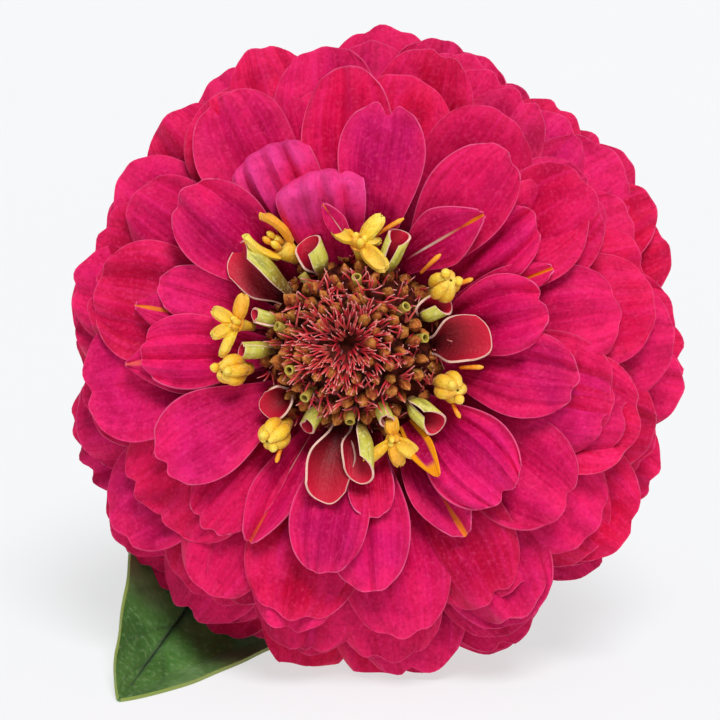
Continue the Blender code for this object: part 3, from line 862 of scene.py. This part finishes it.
def make_outer_rows(finish):
    above = ROW_ABOVE
    for number, row in enumerate(PETAL_ROWS, start=2):
        chance = random.Random(number * 17)
        shape = Shape()

        def plant(angle, tip_radius, tip_height, root_height, lift):
            spine = row_spine(tip_radius, tip_height, root_height, lift)
            add_petal(shape, row_petal(chance, angle, tip_radius), spine, chance, 20, 25, paleness=0.25)

        petals = row[3]
        for index in range(petals):
            lift = (0.35 if index % 2 else -0.35) + chance.uniform(-0.5, 0.5)
            plant(-90.0 + 360.0 * (index + 0.5) / petals, *row[:3], lift)
        halfway = [(first + second) / 2 for first, second in zip(above[:3], row)]
        for index in range(BETWEEN_ROWS):
            turn = (index + chance.uniform(-0.3, 0.3)) * 360.0 / BETWEEN_ROWS
            plant(turn + number * GOLDEN_ANGLE, *halfway, 0.0)
        shape.piece(f"outer_row_{number}", finish, "outer_petals", f"petal_row_{number}")
        above = row


def make_inner_petals(finish):
    for number, petal in enumerate(INNER_PETALS, start=1):
        shape = Shape()
        chance = random.Random(400 + number)
        add_petal(shape, petal, inner_spine(petal.level), chance, 44, 33)
        shape.piece(f"ray_petal_{number:02d}", finish, "inner_petals", f"inner_petal_{number:02d}")


def make_small_petals(finish):
    for number, petal in enumerate(SMALL_PETALS, start=1):
        shape = Shape()
        chance = random.Random(500 + number)
        add_petal(shape, petal, inner_spine(petal.level), chance, 30, 21, paleness=0.9)
        shape.piece(f"small_petal_{number}", finish, "inner_petals")


# ---------------------------------------------------------------- middle of the flower


def make_young_rays(finish):
    """Scoops and tubes, hollow towards the disc, that lean outwards."""
    for number, ray in enumerate(YOUNG_RAYS, start=1):
        chance = random.Random(600 + number)
        outward, sideways = polar(1.0, ray.angle), polar(1.0, ray.angle + 90.0)
        reach, across = blade_grid(30, 41)
        blend = smooth_step(reach)
        half = np.where(across > 0, ray.left[0] + (ray.left[1] - ray.left[0]) * blend,
                        ray.right[0] + (ray.right[1] - ray.right[0]) * blend)
        width = np.where(across > 0, *ray.half_widths) * (0.5 + 0.5 * smooth_step(reach * 1.8))
        width = width * (1.0 - ray.taper * smooth_step((reach - 0.5) / 0.5) ** 1.5)
        reel = width / np.radians(half)
        bend = np.radians(half) * across
        inner = np.where(across > 0, 0.03, 0.2) * across**2 * reel  # the right edge tucks under the left
        side = (reel - inner) * np.sin(bend)
        lift = reel - (reel - inner) * np.cos(bend)
        spin = math.radians(ray.spin) * (0.4 + 0.6 * reach)
        side, lift = (side * np.cos(spin) - (lift - reel) * np.sin(spin),
                      side * np.sin(spin) + (lift - reel) * np.cos(spin) + reel)
        run = ray.tip - ray.root
        slope = math.atan2(ray.rise, run)
        ahead = outward * math.cos(slope) + UP * math.sin(slope)
        inward = UP * math.cos(slope) - outward * math.sin(slope)
        length = math.hypot(run, ray.rise)
        trim = length * ray.trim * across**2 * reach
        trim = trim + 0.12 * np.sin(5.0 * across + chance.uniform(0.0, 6.0)) * reach**4
        bow = 0.5 * np.sin(math.pi * reach) - 0.4 * reach**2
        grid = polar(ray.root, ray.angle, RAY_ROOT_HEIGHT) + ahead * (length * reach - trim)[..., None]
        grid = grid + sideways * side[..., None] + inward * (lift + bow)[..., None]
        shape = Shape()
        shape.sheet(head_to_world(grid), RAY_THICKNESS, along=reach, across=across,
                    end=reach**2, seed=chance.uniform(0.0, 60.0))
        shape.piece(f"rolled_ray_{number:02d}", finish, "young_rays", f"young_ray_{number:02d}")


def make_edged_rays(finish):
    shape = Shape()
    for number, (petal, paleness) in enumerate(zip(EDGED_RAYS, (1.0, 0.5))):
        add_petal(shape, petal, inner_spine(petal.level), random.Random(71 + number), 24, 15, paleness)
    shape.piece("edged_rays", finish, "young_rays")


def lobe_grid(foot, ahead, wide, up, length, width, droop, spans=14):
    """A small tongue that starts at its foot and bends away from up as it goes."""
    reach, across = blade_grid(spans, 9)
    breadth = width * (0.5 + 0.5 * smooth_step(reach * 2.2))
    breadth = breadth * np.sqrt(np.clip(1.0 - np.clip((reach - 0.7) / 0.31, 0.0, 1.0) ** 2, 0.03, 1.0))
    grid = foot + ahead * (length * reach)[..., None]
    grid = grid + wide * (breadth * across)[..., None]
    arch = 1.6 * reach * (1.0 - reach)
    grid = grid + up * (0.45 * width * across**2 + droop * (arch - reach**2))[..., None]
    return grid, reach, across


def add_anthers(shape, mouth, axis, first, second, size, count):
    girths = np.array([0.2, 0.34, 0.42, 0.34, 0.14]) * size
    for anther in range(count):
        stand = mouth + spoke(first, second, 2 * math.pi * anther / count) * 0.5 * size
        path = line(stand, axis * size, (-0.4, 0.1, 0.5, 0.9, 1.15))
        shape.tube(path, girths, 8, dark=0.55 * (anther % 2))


def add_open_floret(shape, foot, axis, size, lobes, chance):
    """A tube with fuzzy lobes bent back, and the anthers that stand in its mouth."""
    first, second = ways_across(axis, UP)
    mouth = foot + axis * 2.5 * size
    heights = np.linspace(0.0, 1.0, 7)
    shape.tube(line(foot, mouth - foot, heights), (0.5 + 0.5 * heights**2) * size, 12,
               dark=heights[:, None] ** 4 * 0.8)
    add_anthers(shape, mouth, axis, first, second, size, 5)
    for way, length, width in lobes:
        out = polar(1.0, way)
        ahead = unit(out + UP * chance.uniform(0.15, 0.4))
        wide = np.cross(UP, out)
        grid, reach, across = lobe_grid(mouth + out * 0.5 * size, ahead, wide, np.cross(ahead, wide),
                                        length, width, chance.uniform(0.5, 1.1))
        shape.sheet(head_to_world(grid), 0.5, along=0.5 + 0.5 * reach, across=across,
                    dark=chance.choice((0.0, 0.25, 0.6)))


def add_bud_floret(shape, foot, axis, size, chance):
    """A floret about to open: five plump lobes closed over a short tube."""
    first, second = ways_across(axis, polar(1.0, chance.uniform(0.0, 360.0)))
    shape.tube(line(foot, axis * size, (0.0, 0.8, 1.6)), np.array([0.5, 0.7, 0.9]) * size, 12, dark=0.3)
    share = np.linspace(0.0, 1.0, 11)
    belly = np.sin(math.pi * np.linspace(0.10, 0.94, 11)) ** 0.6
    for lobe in range(5):
        out = spoke(first, second, math.radians(72.0 * lobe + chance.uniform(-8.0, 8.0)))
        lean = 0.92 * np.sin(math.pi * (0.15 + 0.75 * share))
        path = head_to_world(foot + (np.outer(1.0 + 2.7 * share, axis) + np.outer(lean, out)) * size)
        shape.tube(path, belly * size * chance.uniform(0.54, 0.66), 12, dark=chance.uniform(0.0, 0.3))
    knob_girths = np.array([0.25, 0.38, 0.44, 0.46, 0.42, 0.32, 0.12]) * size
    for knob in range(2):
        way = spoke(first, second, 2.4 * knob)
        base = foot + (axis * (3.1 + 0.3 * knob) + way * 0.5) * size
        path = line(base, (axis * 0.8 + way * 0.5) * size, np.linspace(0, 1, 7))
        shape.tube(path, knob_girths, 10, dark=0.0)


def add_beak_floret(shape, foot, axis, size):
    """A floret seen from its side: two long lobes gape over a row of anthers."""
    axis = unit(axis + polar(0.5, 170.0))
    first, second = ways_across(axis, UP)
    shape.tube(line(foot, axis * size, (0.0, 0.8, 1.6, 2.2)), np.array([0.6, 0.85, 1.05, 0.9]) * size, 12,
               dark=0.2)
    mouth = foot + axis * 1.7 * size
    for way in (-1.0, 1.0):
        ahead = unit(axis + first * 0.24 * way)
        grid, reach, across = lobe_grid(mouth + first * way * 0.75 * size, ahead, second * way,
                                        first * way, 4.2 * size, 0.8 * size, 0.6 * size, spans=18)
        shape.sheet(head_to_world(grid), 0.6 * size, along=0.5 + 0.5 * reach, across=across,
                    dark=0.7 if way > 0 else 0.0)
    for height, share, count in ((0.8, 0.9, 3), (1.7, 0.8, 2)):
        add_anthers(shape, mouth + axis * height * size, axis, first * 0.8, second, size * share, count)


def make_yellow_florets(finish):
    for number, (angle, radius, size, kind, lobes) in enumerate(YELLOW_FLORETS, start=1):
        foot = polar(radius - FLORET_FOOT_IN, angle, FLORET_FOOT_HEIGHT)
        axis = unit(polar(radius + FLORET_AIM_OUT, angle, FLORET_AIM_HEIGHT) - foot)
        chance = random.Random(700 + number)
        shape = Shape()
        if kind == "open":
            add_open_floret(shape, foot, axis, size, lobes, chance)
        elif kind == "bud":
            add_bud_floret(shape, foot, axis, size, chance)
        else:
            add_beak_floret(shape, foot, axis, size)
        shape.piece(f"open_floret_{number}", finish, "yellow_florets", f"yellow_floret_{number}")


def make_styles(finish):
    shape = Shape()
    chance = random.Random(81)
    shares = np.linspace(0, 1, 10)
    girths = np.interp(shares, (0, 0.5, 0.9, 1), (0.2, 0.26, 0.3, 0.12))
    for foot_angle, foot_radius, tip_angle, tip_radius in STYLES:
        foot = polar(foot_radius, foot_angle, STYLE_FOOT_HEIGHT)
        tip = polar(tip_radius, tip_angle, STYLE_TIP_HEIGHT)
        middle = (foot + tip) / 2 + UP * chance.uniform(0.3, 0.9)
        shape.tube(head_to_world([bezier((foot, middle, middle, tip), t) for t in shares]), girths, 8)
    shape.piece("orange_styles", finish, "yellow_florets")


def dome_height(radius):
    """Height of the disc's surface at a radius."""
    heights, radii = zip(*DISC_OUTLINE)
    return np.interp(radius, radii[::-1] + (10.5,), heights[::-1] + (20.6,))


def dome_normal(radius, angle):
    step = 0.6
    slope = (dome_height(radius + step) - dome_height(max(radius - step, 0.0))) / (2 * step)
    slope = min(max(slope, -1.6), 1.2)
    return unit(UP - polar(slope, angle))


def make_disc_core(finish):
    """The dark dome that shows between the buds, with the pit in its middle."""
    shape = Shape()
    turns = np.linspace(0.0, 360.0, 72, endpoint=False)
    rings = []
    for radius, height in DISC_CORE:
        wobble = 0.12 * np.sin(np.radians(turns) * 13 + height * 3)
        rings.append(polar(radius + wobble, turns, height + wobble))
    shape.rings(head_to_world(rings))
    shape.piece("disc_core", finish, "disc", "disc_florets")


def disc_spots(count, inner, outer):
    """Evenly packed (radius, angle) spots on the disc, in the spiral order of a real one."""
    for index in range(count):
        share = (index + 0.5) / count
        radius = math.sqrt(inner**2 + (outer**2 - inner**2) * share)
        yield radius, (index * GOLDEN_ANGLE) % 360.0


def make_disc_buds(finish):
    """Plump buds, five-sided towards their tops."""
    shape = Shape()
    chance = random.Random(91)
    turns = np.linspace(0.0, 2 * math.pi, 10, endpoint=False)
    share = np.linspace(0.0, 1.0, 9)[:, None]
    outline = 0.55 + 0.6 * np.sin(math.pi * np.minimum(share * 1.1, 1.0)) ** 0.8
    outline = outline * np.sqrt(np.maximum(1.0 - np.maximum(share - 0.62, 0.0) ** 2 / 0.148, 0.015))
    outline = outline * (1.0 + 0.16 * np.cos(5 * turns) * share)
    for radius, angle in disc_spots(BUD_COUNT, 2.8, 10.9):
        base = polar(radius, angle, dome_height(radius) - 1.5)
        axis = unit(dome_normal(radius, angle) + 0.25 * random_way(chance))
        first, second = ways_across(axis, polar(1.0, angle))
        size = chance.uniform(0.5, 0.82) * (0.74 + 0.03 * radius)
        height = chance.uniform(2.0, 2.9)
        rings = base + axis * height * share[..., None]
        rings = rings + spoke(first, second, turns) * size * outline[..., None]
        shape.rings(head_to_world(rings))
    shape.piece("disc_buds", finish, "disc")


def add_comb(shape, chance, root, ahead, wide, length, teeth, curve):
    """A fringed scale: a few curved strands that fan out from one root."""
    t = np.linspace(0.0, 1.0, 6)
    for tooth in range(teeth):
        fan = (tooth - (teeth - 1) / 2) / max(teeth - 1, 1)
        way = unit(ahead + wide * fan * 1.1 + 0.18 * random_way(chance))
        hook = curve * random_way(chance)
        reach = length * chance.uniform(0.75, 1.2)
        path = root + wide * fan * 0.35 + np.outer(t, way * reach) + np.outer(t * t, hook)
        shape.tube(head_to_world(path), np.linspace(STRAND_RADIUS, STRAND_RADIUS * 0.35, 6), 5)


def make_disc_fringe(finish):
    """Combs of rose strands: packed round the pit and leaning to it, scattered further out."""
    shape = Shape()
    chance = random.Random(92)
    for radius, count, length in FRINGE_RINGS:
        for index in range(count):
            angle = 360.0 * index / count + chance.uniform(-5.0, 5.0)
            spot = radius + chance.uniform(-0.3, 0.3)
            root = polar(spot, angle, dome_height(spot) - 0.4)
            ahead = unit(UP * chance.uniform(0.7, 1.5) + polar(1.0, angle))
            add_comb(shape, chance, root, ahead, polar(0.45, angle + 90.0), length, 4, 0.25)
    for radius, angle in disc_spots(BUD_COUNT, 5.4, 10.4):
        root = polar(radius, angle + 20.0, dome_height(radius) + 0.5)
        turn = chance.uniform(0.0, 360.0)
        ahead = unit(dome_normal(radius, angle) + 1.2 * polar(1.0, turn))
        add_comb(shape, chance, root, ahead, polar(1.0, turn + 90.0), 1.5, chance.randint(2, 4), 0.6)
    shape.piece("disc_fringe", finish, "disc")


def make_disc_tubes(finish):
    """Small tubes that stand open among the buds."""
    shape = Shape()
    chance = random.Random(93)
    reach = np.linspace(0.0, 1.0, 9)[:, None]
    turns = np.linspace(0.0, 2 * math.pi, 16, endpoint=False)
    for index in range(OPEN_TUBES):
        angle = index * 360.0 / OPEN_TUBES + chance.uniform(-9.0, 9.0)
        radius = chance.uniform(6.2, 8.6)
        axis = unit(dome_normal(radius, angle) + 0.15 * random_way(chance))
        first, second = ways_across(axis, polar(1.0, angle))
        grid = polar(radius, angle, dome_height(radius) - 0.8) + axis * 2.5 * reach[..., None]
        grid = grid + spoke(first, second, turns) * (0.40 + 0.10 * reach**2)[..., None]
        shape.sheet(head_to_world(grid), 0.2, closed=True, along=reach)
    shape.piece("disc_tubes", finish, "disc")


# ---------------------------------------------------------------- green parts


def leaf_width(reach):
    return (0.16 + 0.84 * smooth_step(reach / 0.4)) * (1.0 - reach**3) ** 0.8


def leaf_point(reach, across):
    """A point on the leaf's middle surface; across runs from -1 at the right edge to 1 at the left."""
    middle = bezier(LEAF_MIDRIB, reach)
    ahead = unit(bezier(LEAF_MIDRIB, min(reach + 0.01, 1.0)) - bezier(LEAF_MIDRIB, max(reach - 0.01, 0.0)))
    turned = smooth_step(reach / 0.8)
    face = np.array([0.0, -1.0, 0.0]) * (1.0 - turned)
    face = face + np.array([math.sin(LEAF_TILT), 0.0, math.cos(LEAF_TILT)]) * turned
    face = unit(face - ahead * np.dot(face, ahead))
    left = np.cross(ahead, face)
    width = LEAF_HALF_WIDTH * leaf_width(reach) * abs(across)
    if across > 0:
        side, fold = left, LEAF_FOLD_LEFT
        width = width * (1.0 - 0.3 * smooth_step((reach - 0.55) / 0.4))
    else:
        side, fold, width = -left, LEAF_FOLD_RIGHT, width * LEAF_RIGHT_SHARE
    fold = fold * smooth_step(reach / 0.3)
    return middle + width * (side * math.cos(fold) + face * math.sin(fold))


def leaf_veins(reach, across):
    """How near each point is to the midrib or a side vein, from 0 to 1."""
    midrib = np.exp(-((across / 0.035) ** 2))
    lines = reach * 8.0 - 1.5 * np.abs(across) ** 0.8 + 0.25 * np.sign(across)
    away = np.abs(lines - np.round(lines)) * 2.0
    side_veins = np.exp(-((away / 0.12) ** 2)) * (1.0 - 0.7 * np.abs(across))
    return midrib, side_veins


def make_leaf(finish):
    reach, across = blade_grid(110, 61)
    reach = 0.998 * reach  # the very tip would have no width
    grid = np.array([[leaf_point(r, a) for r, a in zip(*pair)] for pair in zip(reach, across)])
    midrib, side_veins = leaf_veins(reach, across)
    quilt = 0.16 * np.cos(2 * math.pi * (reach * 8.0 - 1.5 * np.abs(across) ** 0.8)) * np.abs(across)
    wave = 0.45 * across**2 * np.sin(reach * 13.0 + 1.3 * np.sign(across))
    relief = 0.7 * midrib + 0.16 * side_veins + quilt + wave * smooth_step(reach * 3.0)
    relief = relief * (1.0 - smooth_step((reach - 0.85) / 0.15))  # the grid's normals point down
    grid = grid + grid_normals(grid) * relief[..., None]
    grid = grid + np.array([0.0, HEAD_FOOT[1], 0.0])
    grid[..., 2] = np.maximum(grid[..., 2], GROUND_CLEAR)
    shape = Shape()
    shape.sheet(grid, LEAF_THICKNESS, along=reach, across=across, vein=np.maximum(midrib, 0.6 * side_veins))
    shape.piece("leaf_blade", finish, "leaf", "leaf")


def make_stem(finish):
    """The ribbed stem with its cut end, a little hollowed."""
    distances, radii = zip(*STEM_OUTLINE)
    turns = np.linspace(0.0, 360.0, 32, endpoint=False)
    rib = np.cos(np.radians(turns) * STEM_RIBS)
    rings = []
    for distance in np.linspace(STEM_TOP, STEM_LENGTH, 150):
        flare = 0.1 * max(9.0 - distance, 0.0)
        girth = np.interp(distance, distances, radii) + flare + 0.1 * rib + 0.05 * math.sin(distance * 0.35)
        rings.append(polar(girth, turns, -distance))
    skin = len(rings)
    for share in (0.86, 0.6, 0.3):
        rings.append(polar(radii[-1] * share, turns, -STEM_LENGTH + 0.25 * (1 - share)))
    world = head_to_world(rings)
    world[..., 2] = np.maximum(world[..., 2], 0.02)
    cut = (np.arange(len(rings)) >= skin)[:, None].astype(float)
    shape = Shape()
    shape.rings(world, rib=rib * (1.0 - cut), cut=cut)
    shape.piece("stem_skin", finish, "stem", "stem")


def make_stem_hairs(finish):
    shape = Shape()
    chance = random.Random(95)
    for _ in range(STEM_HAIRS):
        distance = chance.uniform(9.0, STEM_LENGTH - 1.0)
        radius = np.interp(distance, *zip(*STEM_OUTLINE))
        angle = chance.uniform(0.0, 360.0)
        root = polar(radius - 0.05, angle, -distance)
        tip = polar(radius + chance.uniform(0.5, 1.0), angle + chance.uniform(-12, 12),
                    -distance + chance.uniform(-0.5, 0.5))
        path = line(root, tip - root, (0.0, 0.5, 1.0))
        path[:, 2] = np.maximum(path[:, 2], 0.08)
        shape.tube(path, np.array([0.05, 0.04, 0.015]), 4)
    shape.piece("stem_hairs", finish, "stem")


def make_bract_cup(finish):
    """Rows of overlapping bracts, each a rounded scale that hugs the receptacle."""
    shape = Shape()
    chance = random.Random(97)
    reach, across = blade_grid(14, 11)
    across = np.sin(0.5 * math.pi * across)
    end = np.clip((reach - 0.5) / 0.5, 0.0, 1.0)
    for base, length, count, gap, half_width in BRACT_ROWS:
        for index in range(count):
            middle = 360.0 * (index + 0.5 * (count % 2)) / count + chance.uniform(-3.0, 3.0)
            plan = Petal(middle, 1.0, half_width, widest=0.5, foot=0.7)
            forward, sideways = petal_plan(plan, reach, across)
            height = base + length * forward
            radius = np.interp(height, *zip(*RECEPTACLE_OUTLINE))
            radius = radius + gap + 0.25 * (index % 2) + 0.15 * reach * across**2
            grid = polar(radius, middle + np.degrees(sideways * half_width / radius), height)
            shape.sheet(head_to_world(grid), 0.3, along=reach, across=across, end=end)
    shape.piece("bract_cup", finish, "bracts", "involucre")


# ---------------------------------------------------------------- stage


def make_floor():
    """A pale round sheet whose far rim sweeps up, so that no horizon shows from any side."""
    sides = 96
    profile = [(0.5, 0.0), (2.0, 0.0), (FLOOR_RADIUS, 0.0)]
    for turn in np.radians(np.linspace(7.5, 90.0, 12)):
        profile.append((FLOOR_RADIUS + FLOOR_RIM * math.sin(turn), FLOOR_RIM * (1.0 - math.cos(turn))))
    turns = np.linspace(0.0, 360.0, sides, endpoint=False)
    points = np.concatenate([polar(radius, turns, height) for radius, height in profile])
    faces = grid_quads(len(profile), sides, True)[:, ::-1].tolist() + [list(range(sides))]
    mesh = bpy.data.meshes.new("studio_floor")
    mesh.from_pydata(points.tolist(), [], faces)
    mesh.shade_smooth()
    look = Look("studio_paper", Roughness=0.8, Specular_IOR_Level=0.1,
                Emission_Color=(1.0, 1.0, 1.0, 1.0), Emission_Strength=FLOOR_GLOW)
    look.set("Base Color", look.ramp(look.noise(2.0, 2.0), (0.3, (150, 152, 156)), (0.7, (153, 155, 159))))
    mesh.materials.append(look.material)
    floor = bpy.data.objects.new("studio_floor", mesh)
    bpy.context.scene.collection.objects.link(floor)


def look_at(obj, target):
    way = Vector(target) - Vector(obj.location)
    obj.rotation_euler = way.to_track_quat("-Z", "Y").to_euler()


def make_lights(target):
    world = bpy.data.worlds.new("studio_world")
    world.use_nodes = True
    background = world.node_tree.nodes["Background"]
    background.inputs["Color"].default_value = (0.98, 0.985, 1.0, 1.0)
    background.inputs["Strength"].default_value = WORLD_STRENGTH
    bpy.context.scene.world = world
    light = bpy.data.lights.new("key", "SUN")
    light.energy = SUN_STRENGTH
    light.angle = math.radians(SUN_SOFTNESS)
    sun = bpy.data.objects.new("key", light)
    sun.location = SUN_PLACE
    look_at(sun, target)
    bpy.context.scene.collection.objects.link(sun)


def make_camera():
    azimuth, elevation = math.radians(CAMERA_AZIMUTH), math.radians(CAMERA_ELEVATION)
    back = np.array([
        math.sin(azimuth) * math.cos(elevation),
        -math.cos(azimuth) * math.cos(elevation),
        math.sin(elevation),
    ])
    right = np.array([math.cos(azimuth), math.sin(azimuth), 0.0])
    up = np.cross(back, right)
    centre = head_to_world((0.0, 0.0, CAMERA_AIM_HEIGHT))
    aim = (centre + CAMERA_SHIFT_RIGHT * right + CAMERA_SHIFT_UP * up) * MM
    camera = bpy.data.cameras.new("camera")
    camera.lens = CAMERA_LENS
    camera.sensor_width = 36.0
    camera.clip_start = 0.01
    obj = bpy.data.objects.new("camera", camera)
    obj.location = aim + back * CAMERA_DISTANCE
    look_at(obj, aim)
    bpy.context.scene.collection.objects.link(obj)
    bpy.context.scene.camera = obj
    return tuple(centre * MM)


def main():
    bpy.context.scene.view_settings.view_transform = "Standard"
    petal_finish = petal_look()
    make_outer_rows(petal_finish)
    make_inner_petals(petal_finish)
    make_small_petals(petal_finish)
    make_edged_rays(petal_finish)
    make_young_rays(ray_look())
    make_yellow_florets(floret_look())
    make_styles(style_look())
    make_disc_core(pit_look())
    make_disc_buds(bud_look())
    make_disc_fringe(fringe_look())
    make_disc_tubes(mouth_look())
    make_leaf(leaf_look())
    make_stem(stem_look())
    make_stem_hairs(hair_look())
    make_bract_cup(bract_look())
    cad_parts["receptacle"].material_slots[0].material = receptacle_look()
    make_floor()
    centre = make_camera()
    make_lights(centre)


main()
